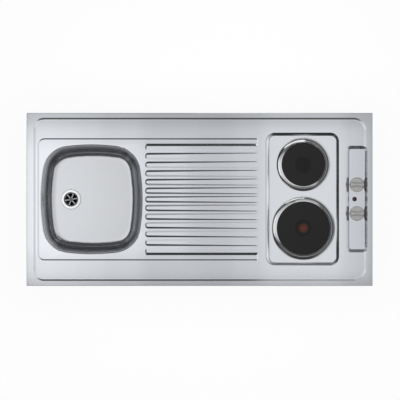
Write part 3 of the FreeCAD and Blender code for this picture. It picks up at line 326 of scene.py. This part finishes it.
# %% The plain metals
BRIGHT = (0.82, 0.83, 0.85)
sheet_steel = finish("sheet_steel", (0.79, 0.812, 0.855), 1.0, 0.17, (6, 700, 700), 0.03, 0.000002)
bright_steel = finish("bright_steel", BRIGHT, 1.0, 0.13, (200, 200, 200), 0.03)
zinc = finish("zinc_coat", (0.52, 0.54, 0.55), 1.0, 0.42, (90, 90, 90), 0.12)
# The waste screw's darker steel is painted shade, for its place deep in the well.
shaded_screw_steel = finish("shaded_screw_steel", (0.16, 0.16, 0.165), 1.0, 0.35, (300, 300, 300), 0.05)
screw_steel = finish("screw_steel", (0.55, 0.55, 0.56), 1.0, 0.3, (300, 300, 300), 0.05)
brass = finish("brass", (0.75, 0.55, 0.22), 1.0, 0.3, (400, 400, 400), 0.08)
print("steels, zinc and brass")

# %% [markdown]
# ## Steel of the bowl
# The walls of the deep-drawn bowl are darker than its floor, and that darkness is painted shade. The bowl
# is one piece of sheet, so one material holds a tint for the floor and a painted shade for the walls: the
# height, from
# Object coordinates, blends from one to the other just above the rounded foot.

# %% A tint for the floor and painted shade for the walls
# The darker colour of the walls is painted shade, blended in by height.
BOWL_FLOOR, BOWL_WALLS_SHADE = (0.66, 0.675, 0.705), (0.52, 0.525, 0.54)
BOWL_SHADE_BLEND = (-0.112, -0.080)
bowl_steel = finish("bowl_steel", (0.80, 0.81, 0.83), 1.0, 0.22, (60, 60, 60), 0.03, 0.000003)
tree = bowl_steel.node_tree
spot = tree.nodes.new("ShaderNodeSeparateXYZ")
tree.links.new(tree.nodes.new("ShaderNodeTexCoord").outputs["Object"], spot.inputs[0])
blend = tree.nodes.new("ShaderNodeMix")
blend.data_type = "RGBA"
blend.inputs["A"].default_value = (*BOWL_FLOOR, 1)
blend.inputs["B"].default_value = (*BOWL_WALLS_SHADE, 1)
tree.links.new(smooth_step(tree, spot.outputs["Z"], *BOWL_SHADE_BLEND), blend.inputs["Factor"])
tree.links.new(blend.outputs["Result"], tree.nodes["Principled BSDF"].inputs["Base Color"])
print("bowl steel blends from", BOWL_SHADE_BLEND[0], "to", BOWL_SHADE_BLEND[1])

# %% [markdown]
# ## Everything that is not bare metal
# Mouldings, rubber, ceramic and wood differ in colour, in gloss and in the size of their grain. They
# share one helper, so each is a line. The lens of the lamp alone gets a clear coat.

# %% Plastics, rubber, ceramic and wood
knob_grey = finish("knob_grey", (0.30, 0.30, 0.295), 0.0, 0.42, (900, 900, 900), 0.06, 0.00001)
rubber = finish("black_rubber", (0.02, 0.02, 0.02), 0.0, 0.7, (500, 500, 500), 0.1)
pad_black = finish("bitumen_pad", (0.03, 0.03, 0.03), 0.0, 0.85, (250, 250, 250), 0.08, 0.0002)
ceramic = finish("steatite", (0.80, 0.77, 0.70), 0.0, 0.45, (300, 300, 300), 0.08)
pale_plastic = finish("pale_plastic", (0.72, 0.71, 0.67), 0.0, 0.4, (400, 400, 400), 0.05)
black_plastic = finish("black_plastic", (0.02, 0.02, 0.02), 0.0, 0.42, (500, 500, 500), 0.06)
lens_red = finish("lens_red", (0.022, 0.008, 0.012), 0.0, 0.15, (300, 300, 300), 0.02,
                  extra={"Coat Weight": 0.5, "Specular IOR Level": 0.3})
wood = finish("raw_wood", (0.50, 0.34, 0.19), 0.0, 0.7, (14, 260, 260), 0.1, 0.0002)
print("plastics, rubber, ceramic and wood")

# %% [markdown]
# ## Round pieces
# Plates, rings and the waste are turned about an upright axis. The CAD box of each gives its axis, and
# a shader can find the distance from it in Object coordinates: shift to the axis, drop the height and
# take the length. That distance drives the lathe rings and each tint that changes outwards.

# %% Where a round piece stands
def round_piece(node):
    """Centre in plan, radius, foot and top of a round CAD node."""
    low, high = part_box(node)
    centre = Vector(((low.x + high.x) / 2, (low.y + high.y) / 2, 0))
    return centre, (high.x - low.x) / 2, low.z, high.z


# %% Helpers that read the distance from the axis
def from_axis(tree, node):
    """Distance in plan from the vertical axis of a round CAD node."""
    centre = round_piece(node)[0]
    place = tree.nodes.new("ShaderNodeMapping")
    place.inputs["Location"].default_value = (-centre.x, -centre.y, 0)
    flat = tree.nodes.new("ShaderNodeVectorMath")
    flat.operation = "MULTIPLY"
    flat.inputs[1].default_value = (1, 1, 0)
    length = tree.nodes.new("ShaderNodeVectorMath")
    length.operation = "LENGTH"
    tree.links.new(tree.nodes.new("ShaderNodeTexCoord").outputs["Object"], place.inputs[0])
    tree.links.new(place.outputs[0], flat.inputs[0])
    tree.links.new(flat.outputs[0], length.inputs[0])
    return length.outputs["Value"]


def tint_outwards(material, node, radius, inner, outer):
    """Blends the base colour; inner and outer are (share of radius, colour)."""
    tree = material.node_tree
    ramp = tree.nodes.new("ShaderNodeValToRGB")
    for stop, (share, colour) in zip(ramp.color_ramp.elements, (inner, outer)):
        stop.position, stop.color = share, (*colour, 1)
    tree.links.new(math_node(tree, "DIVIDE", from_axis(tree, node), radius), ramp.inputs[0])
    tree.links.new(ramp.outputs["Color"], tree.nodes["Principled BSDF"].inputs["Base Color"])


# %% [markdown]
# ## Turned iron
# The cooking face of a cast plate is turned on a lathe, which leaves fine rings about its centre. A
# sine of the distance from that centre lifts the surface in a Bump node; real grooves this fine would
# need millions of faces. The dish in the middle is painted a little blacker than the face: painted shade
# in its hollow.

# %% Black iron for each plate, with painted shade in the dish
GROOVE, GROOVE_HEIGHT = 0.0016, 0.00003
DISH_SHADE_RADIUS = 0.031
IRON_SPECULAR = {"Specular IOR Level": 0.25}


def turned_iron(node):
    """Black iron with lathe rings about the centre of this plate and painted shade in its dish."""
    material = finish("black_iron_" + node, (0.014, 0.014, 0.0145), 0.0, 0.5, (400, 400, 400), 0.08,
                      extra=IRON_SPECULAR)
    # Painted shade: the base colour darkens inside the dish.
    tint_outwards(material, node, DISH_SHADE_RADIUS,
                  (0.80, (0.0050, 0.0050, 0.00515)), (1.0, (0.0088, 0.0088, 0.009064)))
    tree = material.node_tree
    turns = math_node(tree, "MULTIPLY", from_axis(tree, node), 2 * math.pi / GROOVE)
    relief = tree.nodes.new("ShaderNodeBump")
    relief.inputs["Distance"].default_value = GROOVE_HEIGHT
    tree.links.new(math_node(tree, "SINE", turns), relief.inputs["Height"])
    tree.links.new(relief.outputs[0], tree.nodes["Principled BSDF"].inputs["Normal"])
    return material


iron = {side: turned_iron(side + "_hotplate") for side in ("rear", "front")}
print("lathe rings every", GROOVE * 1000, "mm")

# %% [markdown]
# ## Red dot and waste
# The red dot of the fast plate is a lacquer that fades towards its rim. The flange of the waste is
# bright, and the strainer inside it is painted darker: painted shade down in the well. Both change
# outwards from an axis, so they use the same helper.

# %% Red lacquer
lacquer = finish("red_lacquer", (0.1, 0.03, 0.02), 0.0, 0.5, (300, 300, 300), 0.06, extra=IRON_SPECULAR)
tint_outwards(lacquer, "fast_plate_dot", 0.018, (0.25, (0.075, 0.017, 0.007)),
              (1.0, (0.016, 0.009, 0.007)))
print("red lacquer")

# %% Steel of the waste, with painted shade on the strainer
waste_steel = finish("waste_steel", BRIGHT, 1.0, 0.13, (200, 200, 200), 0.03)
# Painted shade: the strainer inside the well is darker than the bright flange.
tint_outwards(waste_steel, "waste_flange", 0.0255, (0.84, (0.30, 0.30, 0.31)), (1.0, BRIGHT))
print("waste steel")

# %% [markdown]
# ## Dressing
# Each CAD node is its own piece of the real object, so each takes the material that piece is made of;
# those of the bowl, the plates, the waste and its screw also carry painted shade.
# Nodes that aren't named here are screws, studs, nuts and spindles, which are all of plain steel.

# %% One finish for each piece
dressing = {
    "sink_bowl": bowl_steel, "worktop_panel": sheet_steel,
    "front_batten": wood, "back_batten": wood, "left_batten": wood, "right_batten": wood,
    "fixing_straps": zinc, "cross_stiffeners": zinc, "hob_box": zinc, "bowl_sound_pad": pad_black,
    "cable_gland": black_plastic, "gland_nut": black_plastic, "mains_terminal_block": pale_plastic,
    "mains_terminal_screws": brass, "fast_plate_dot": lacquer, "lamp_lens": lens_red,
    "lamp_body": pale_plastic, "waste_flange": waste_steel, "waste_screw": shaded_screw_steel,
    "waste_top_seal": rubber, "waste_under_seal": rubber, "overflow_seal": rubber,
    "waste_body": black_plastic, "overflow_elbow": black_plastic, "overflow_pipe": black_plastic,
}
for side in ("rear", "front"):
    dressing.update({
        side + "_hotplate": iron[side], side + "_spill_ring": bright_steel,
        side + "_ring_seal": rubber, side + "_plate_cover": zinc, side + "_clamp_bridge": zinc,
        side + "_terminal_block": ceramic, side + "_terminal_screws": brass,
        side + "_knob": knob_grey, side + "_spindle_seal": rubber, side + "_switch_body": pale_plastic,
    })
for node, thing in frame["nodes"].items():
    thing.data.materials.clear()
    thing.data.materials.append(dressing.get(node, screw_steel))
print(len(frame["nodes"]), "nodes dressed")

# %% [markdown]
# ## Smooth sheet metal
# CAD hands over loose triangles, which shade as facets. A merged copy with smooth shading and sharp
# edges only where the real metal has them gives clean reflections, and it stands for its node. A
# Weighted Normal modifier lets the large flat faces win at the rounds between them.

# %% Put a piece in place of its node
bodies = frame["record"]["behaviour"]["bodies"]


def stand_for(form, node, sharp):
    """Turns a bmesh into a piece that rides with a CAD node's body and replaces the node.

    sharp is the angle from which an edge stays sharp, or a function that gives it for a point.
    """
    for face in form.faces:
        face.smooth = True
    for edge in form.edges:
        limit = sharp((edge.verts[0].co + edge.verts[1].co) / 2) if callable(sharp) else sharp
        edge.smooth = (len(edge.link_faces) == 2
                       and edge.calc_face_angle(0.0) < math.radians(limit))
    mesh = bpy.data.meshes.new(node + "_skin")
    form.to_mesh(mesh)
    form.free()
    mesh.materials.append(dressing.get(node, screw_steel))
    piece = bpy.data.objects.new(node + "_skin", mesh)
    bpy.context.scene.collection.objects.link(piece)
    modifier = piece.modifiers.new("weighted", "WEIGHTED_NORMAL")
    modifier.keep_sharp = True
    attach(piece, next(body for body, nodes in bodies.items() if node in nodes))
    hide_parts(node)
    print(piece.name, len(mesh.polygons), "faces")


# %% Smooth copies of the CAD pieces
SMOOTH_BELOW = 25          # degrees: pressed and moulded rounds stay under it, true edges don't


def merged(node):
    """The CAD mesh of a node as a bmesh with its loose corners joined."""
    form = bmesh.new()
    form.from_mesh(frame["nodes"][node].data)
    bmesh.ops.remove_doubles(form, verts=form.verts, dist=1e-6)
    bmesh.ops.dissolve_degenerate(form, edges=form.edges, dist=1e-7)
    return form


for node in ("sink_bowl", "rear_knob", "front_knob", "waste_flange", "hob_box", "waste_body",
             "overflow_elbow", "overflow_pipe", "cable_gland", "fast_plate_dot", "waste_screw"):
    stand_for(merged(node), node, SMOOTH_BELOW)

# %% [markdown]
# ## Drainer
# Each rib of the real drainer keeps a low step down into its channel right up to the hob, and only then
# do the channels run out. The copy of the panel is cut across every 15 mm, and the corners of the ribs'
# sides and channels are moved to that even slope, by less than 1 mm in height and 2.2 mm at most
# sideways. The noses of the ribs, at the bowl, are made steeper as well: their foot moves in by up to
# half of their length, or 3.5 mm. New corners along an edge need no new shape, so cuts by planes do.

# %% Measures of the drainer
FIELD_Z, SHEET = TOP_Z - 0.004, 0.0008          # upper face of the field and thickness of the sheet
RIB_PITCH, SIDE_RIBS = 0.030, 6                 # a rib in the middle and six to each side
RIB_X0, RIB_X1 = -0.185, 0.203                  # where the channels start and end
STRAIGHT, TOP_END = 0.00414, 0.223              # the top widens from here, and is widest at TOP_END
TOP_BOWL, TOP_HOB = 0.0046, 0.00975             # half widths of a rib's top at its two ends
DEEP, LAST, RUN_OUT = 0.0025, 0.0009, 0.012     # fall at the bowl and at the hob, length of the last rise
OUTER_WIDTH = 9.0 / 7.0                         # the outermost sides are wider by this
NOSE, NOSE_RUN = 0.50, 0.0085                   # share of a nose's length that stays, and its reach
NOSE_X = RIB_X0 - 0.0072                        # just in front of the noses' feet
FIELD_HALF, OUTER_END = 0.1942, 0.1965          # half the ribbed width, end of the outermost sides
HAIR = 1e-6                                     # a thousandth of a millimetre, for comparisons
LEVELS = ((0.0, 0.0), (0.0004, 0.00196), (0.0021, 0.00504), (0.00325, 0.01085))   # fall, distance
print("rib sides fall by", DEEP * 1000, "mm at the bowl and", LAST * 1000, "mm at the hob")


# %% Where a corner of the drainer goes
def foot(fall):
    """Distance from a rib's top edge to its foot in CAD, where the channel lies this far down."""
    for (fall0, far0), (fall1, far1) in zip(LEVELS, LEVELS[1:]):
        if fall <= fall1:
            return far0 + (far1 - far0) * (fall - fall0) / (fall1 - fall0)
    return LEVELS[-1][1]


def eased_nose(x, y, fall, rib_y):
    """New x, y and fall of a corner at a rib's nose, drawn in by as much as it faces the bowl."""
    nose_x = RIB_X0 + TOP_BOWL
    fall = min(DEEP, DEEP * foot(fall) / foot(DEEP))
    far = math.hypot(x - nose_x, y - rib_y)
    if x > nose_x or not TOP_BOWL < far < TOP_BOWL + NOSE_RUN:
        return x, y, fall
    turn = (nose_x - x) / far
    near = TOP_BOWL + (far - TOP_BOWL) * (1 - (1 - NOSE) * turn)
    return nose_x + (x - nose_x) * near / far, rib_y + (y - rib_y) * near / far, fall


def eased_side(x, y, fall, rib_y):
    """New x, y and fall of a corner on a rib's long side or in the channel beside it."""
    side = 1 if y > rib_y else -1
    outer = abs(y) > SIDE_RIBS * RIB_PITCH
    if outer:
        half, old_fall, old_foot = TOP_BOWL, DEEP, OUTER_WIDTH * foot(DEEP)
    else:
        half = TOP_BOWL + (TOP_HOB - TOP_BOWL) * (x - RIB_X0 - STRAIGHT) / (TOP_END - RIB_X0 - STRAIGHT)
        old_fall = DEEP * (1 - (x - RIB_X0) / (RIB_X1 - RIB_X0))
        old_foot = foot(old_fall)
    away = abs(y - rib_y) - half
    if away < 2 * HAIR or old_fall < HAIR or away > old_foot + 10 * HAIR and outer:
        return x, y, fall
    if outer:
        new_fall, new_foot = DEEP, old_foot
    else:
        ramp = RIB_X1 - RUN_OUT - RIB_X0
        new_fall = min(DEEP - (DEEP - LAST) * (x - RIB_X0) / ramp, LAST * (RIB_X1 - x) / RUN_OUT)
        new_foot = max(old_foot, new_fall * foot(DEEP) / DEEP)
    share = away / old_foot
    if share > 1:
        middle = RIB_PITCH / 2 - half
        away = new_foot + (away - old_foot) * (middle - new_foot) / (middle - old_foot)
        return x, rib_y + side * (half + away), new_fall
    return x, rib_y + side * (half + new_foot * share), new_fall * share


def eased(x, y, fall):
    """New x, y and fall of any corner of the drainer that lies below the field."""
    rib_y = max(-SIDE_RIBS, min(SIDE_RIBS, round(y / RIB_PITCH))) * RIB_PITCH
    at_nose = x < RIB_X0 + RUN_OUT - HAIR
    return eased_nose(x, y, fall, rib_y) if at_nose else eased_side(x, y, fall, rib_y)


# %% Cut the panel across
CUT_STEP, CUTS, END_SHARES = 0.015, 24, (1.0, 0.75, 0.5, 0.25, 0.1)
panel = merged("worktop_panel")
ends = [RIB_X1 - RUN_OUT * share for share in END_SHARES]
for x in [RIB_X0 + RUN_OUT + CUT_STEP * k for k in range(CUTS)] + ends:
    bmesh.ops.bisect_plane(panel, geom=panel.verts[:] + panel.edges[:] + panel.faces[:], dist=1e-7,
                           plane_co=(x, 0, 0), plane_no=(1, 0, 0))
bmesh.ops.triangulate(panel, faces=[face for face in panel.faces if len(face.verts) > 3])
panel.normal_update()
print(CUTS + len(ends), "cuts across the drainer")


# %% Ease the ribs
def below_field(vert):
    """How far a corner lies below the field, on its own face of the sheet, and that face's height."""
    face_z = FIELD_Z - (0.0 if vert.normal.z > 0 else SHEET)
    return face_z - vert.co.z, face_z


moved = 0
for vert in panel.verts:
    x, y, z = vert.co
    fall, face_z = below_field(vert)
    in_drainer = NOSE_X < x < RIB_X1 - 1e-4 and abs(y) < FIELD_HALF and -HAIR < fall < DEEP + 20 * HAIR
    if in_drainer and not (abs(y) > SIDE_RIBS * RIB_PITCH and x > OUTER_END):
        vert.co.x, vert.co.y, new_fall = eased(x, y, fall)
        vert.co.z = face_z - new_fall
        moved += 1
print(moved, "corners of the drainer eased")

# %% [markdown]
# ## Wall beside the controls
# The wall between the controls and the rim is less steep than in CAD, so that it mirrors a higher part
# of the room: its foot lies 3.7 mm nearer to the knobs. Its corners are pushed that way, by more the
# deeper they lie and the nearer they are to the rim.

# %% Lean of the wall
CONTROL_STEP, LEAN = 0.010, 0.0037              # depth of the recess and shift of the wall's foot
WALL_X0, WALL_X1, WALL_WIDTH, WALL_HALF = 0.560, 0.5805, 0.0155, 0.187
leaning = 0
for vert in panel.verts:
    depth = below_field(vert)[0] / CONTROL_STEP
    if WALL_X0 < vert.co.x < WALL_X1 and abs(vert.co.y) < WALL_HALF and 0.02 < depth < 1.05:
        vert.co.x -= LEAN * min(1.0, depth) * min(1.0, (vert.co.x - WALL_X0) / WALL_WIDTH)
        leaning += 1
print(leaning, "corners of the wall moved")


# %% The panel stands for its node
CREASE = 7                 # degrees: the low creases of the ribs stay crisp


def panel_edge(at):
    """The ribs keep their creases, and the rest only its sharper ones."""
    on_ribs = -0.197 < at.x < 0.2035 and abs(at.y) < 0.1995
    return CREASE if on_ribs else SMOOTH_BELOW


stand_for(panel, "worktop_panel", panel_edge)

# %% [markdown]
# ## Spill rings
# The ring is thin sheet spun on a lathe: a narrow cone beside the iron, a bead, then a band that bows
# down to a rolled edge on the panel. A profile turned once round the plate's axis is how it is made in
# steel too, and it gives the clean arcs of light that triangles can't.

# %% A helper that turns a profile
CLEAR = 0.00002            # a turned piece stays this far inside its CAD solid


def turned(profile, centre, closed=True, steps=160):
    """A profile of (radius, height) points turned about the vertical through centre."""
    form = bmesh.new()
    corners = [form.verts.new((centre.x + r, centre.y, z)) for r, z in profile]
    last = corners[1:] + corners[:1] if closed else corners[1:]
    edges = [form.edges.new(pair) for pair in zip(corners, last)]
    bmesh.ops.spin(form, geom=corners + edges, cent=centre, axis=(0, 0, 1), angle=2 * math.pi,
                   steps=steps, use_merge=True, use_duplicate=False)
    bmesh.ops.remove_doubles(form, verts=form.verts, dist=1e-6)
    bmesh.ops.recalc_face_normals(form, faces=form.faces)
    return form


# %% Profile of a spill ring
BEAD, WALL = 0.0056, 0.0006                      # distance of the bead from the iron, sheet below it
BAND_SHARES = (0, 0.08, 0.16, 0.28, 0.4, 0.52, 0.64, 0.76, 0.88, 0.95)
BOW = 1.35                                       # how much the band bows on its way down


def ring_profile(inner, outer, base, top):
    """Radius and height from the iron out over the bead and band, round the edge and back below."""
    bead = inner + BEAD
    band = [(bead + 0.0008 + (outer - bead - 0.0016) * u, base + (top - base - 0.0022) * (1 - u ** BOW))
            for u in BAND_SHARES]
    upper = [(inner, top - 0.0001), (inner + 0.0003, top), (bead - 0.0010, top - 0.0016),
             (bead - 0.0003, top - 0.0019), (bead + 0.0003, top - 0.0017)] + band
    rolled = [(outer - 0.0003, base + 0.0006), (outer, base + 0.0002), (outer - 0.0002, base)]
    under = [(r - 0.0005, z - WALL) for r, z in reversed(upper[2:]) if z - WALL > base]
    return upper + rolled + under + [(inner, top - 0.0007)]


# %% The two spill rings
for side in ("rear", "front"):
    centre, radius, base, top = round_piece(side + "_spill_ring")
    inner = round_piece(side + "_hotplate")[1] + CLEAR
    profile = ring_profile(inner, radius - CLEAR, base, top)
    stand_for(turned(profile, centre), side + "_spill_ring", 40)

# %% [markdown]
# ## Hotplates
# The plate is a turned casting too. Its top edge is rounded by a couple of millimetres and the shallow
# dish in the middle, which is not heated, runs out in a soft slope. Below, it is hollow between a rim
# and the boss that the stud goes into.

# %% Profile of a cast plate
DISH_RADIUS, DISH_DEPTH = 0.0285, 0.0012


def plate_profile(radius, base, top):
    """Radius and height from the axis out over the dish and face, down the rim and back below."""
    dish, deep = DISH_RADIUS, DISH_DEPTH
    return [(0, top - deep), (dish - 0.0050, top - deep), (dish - 0.0030, top - deep * 0.94),
            (dish - 0.0010, top - deep * 0.62), (dish + 0.0010, top - deep * 0.25),
            (dish + 0.0025, top - deep * 0.05), (dish + 0.0040, top), (radius - 0.0020, top),
            (radius - 0.0009, top - 0.0002), (radius - 0.0003, top - 0.0006), (radius, top - 0.0012),
            (radius, top - 0.0099), (radius - 0.0025, base), (radius - 0.011, base),
            (radius - 0.013, top - 0.008), (dish + 0.002, top - 0.008), (dish - 0.001, base), (0, base)]


# %% The two cast plates
for side in ("rear", "front"):
    centre, radius, base, top = round_piece(side + "_hotplate")
    profile = plate_profile(radius - CLEAR, base, top)
    stand_for(turned(profile, centre, closed=False), side + "_hotplate", 30)

# %% [markdown]
# ## Pilot lamp
# The lens is a low dome of dark red plastic on a short collar. It is small, so a quarter of an ellipse
# in eight steps, turned in 64, is round enough.

# %% Lens of the pilot lamp
COLLAR, DOME_STEPS = 0.0012, 8
centre, radius, base, top = round_piece("lamp_lens")
radius -= CLEAR
dome = top - base - COLLAR
angles = [math.pi / 2 * k / DOME_STEPS for k in range(1, DOME_STEPS + 1)]
profile = [(0, top)] + [(radius * math.sin(a), base + COLLAR + dome * math.cos(a)) for a in angles]
profile += [(radius, base), (0, base)]
stand_for(turned(profile, centre, closed=False, steps=64), "lamp_lens", 40)
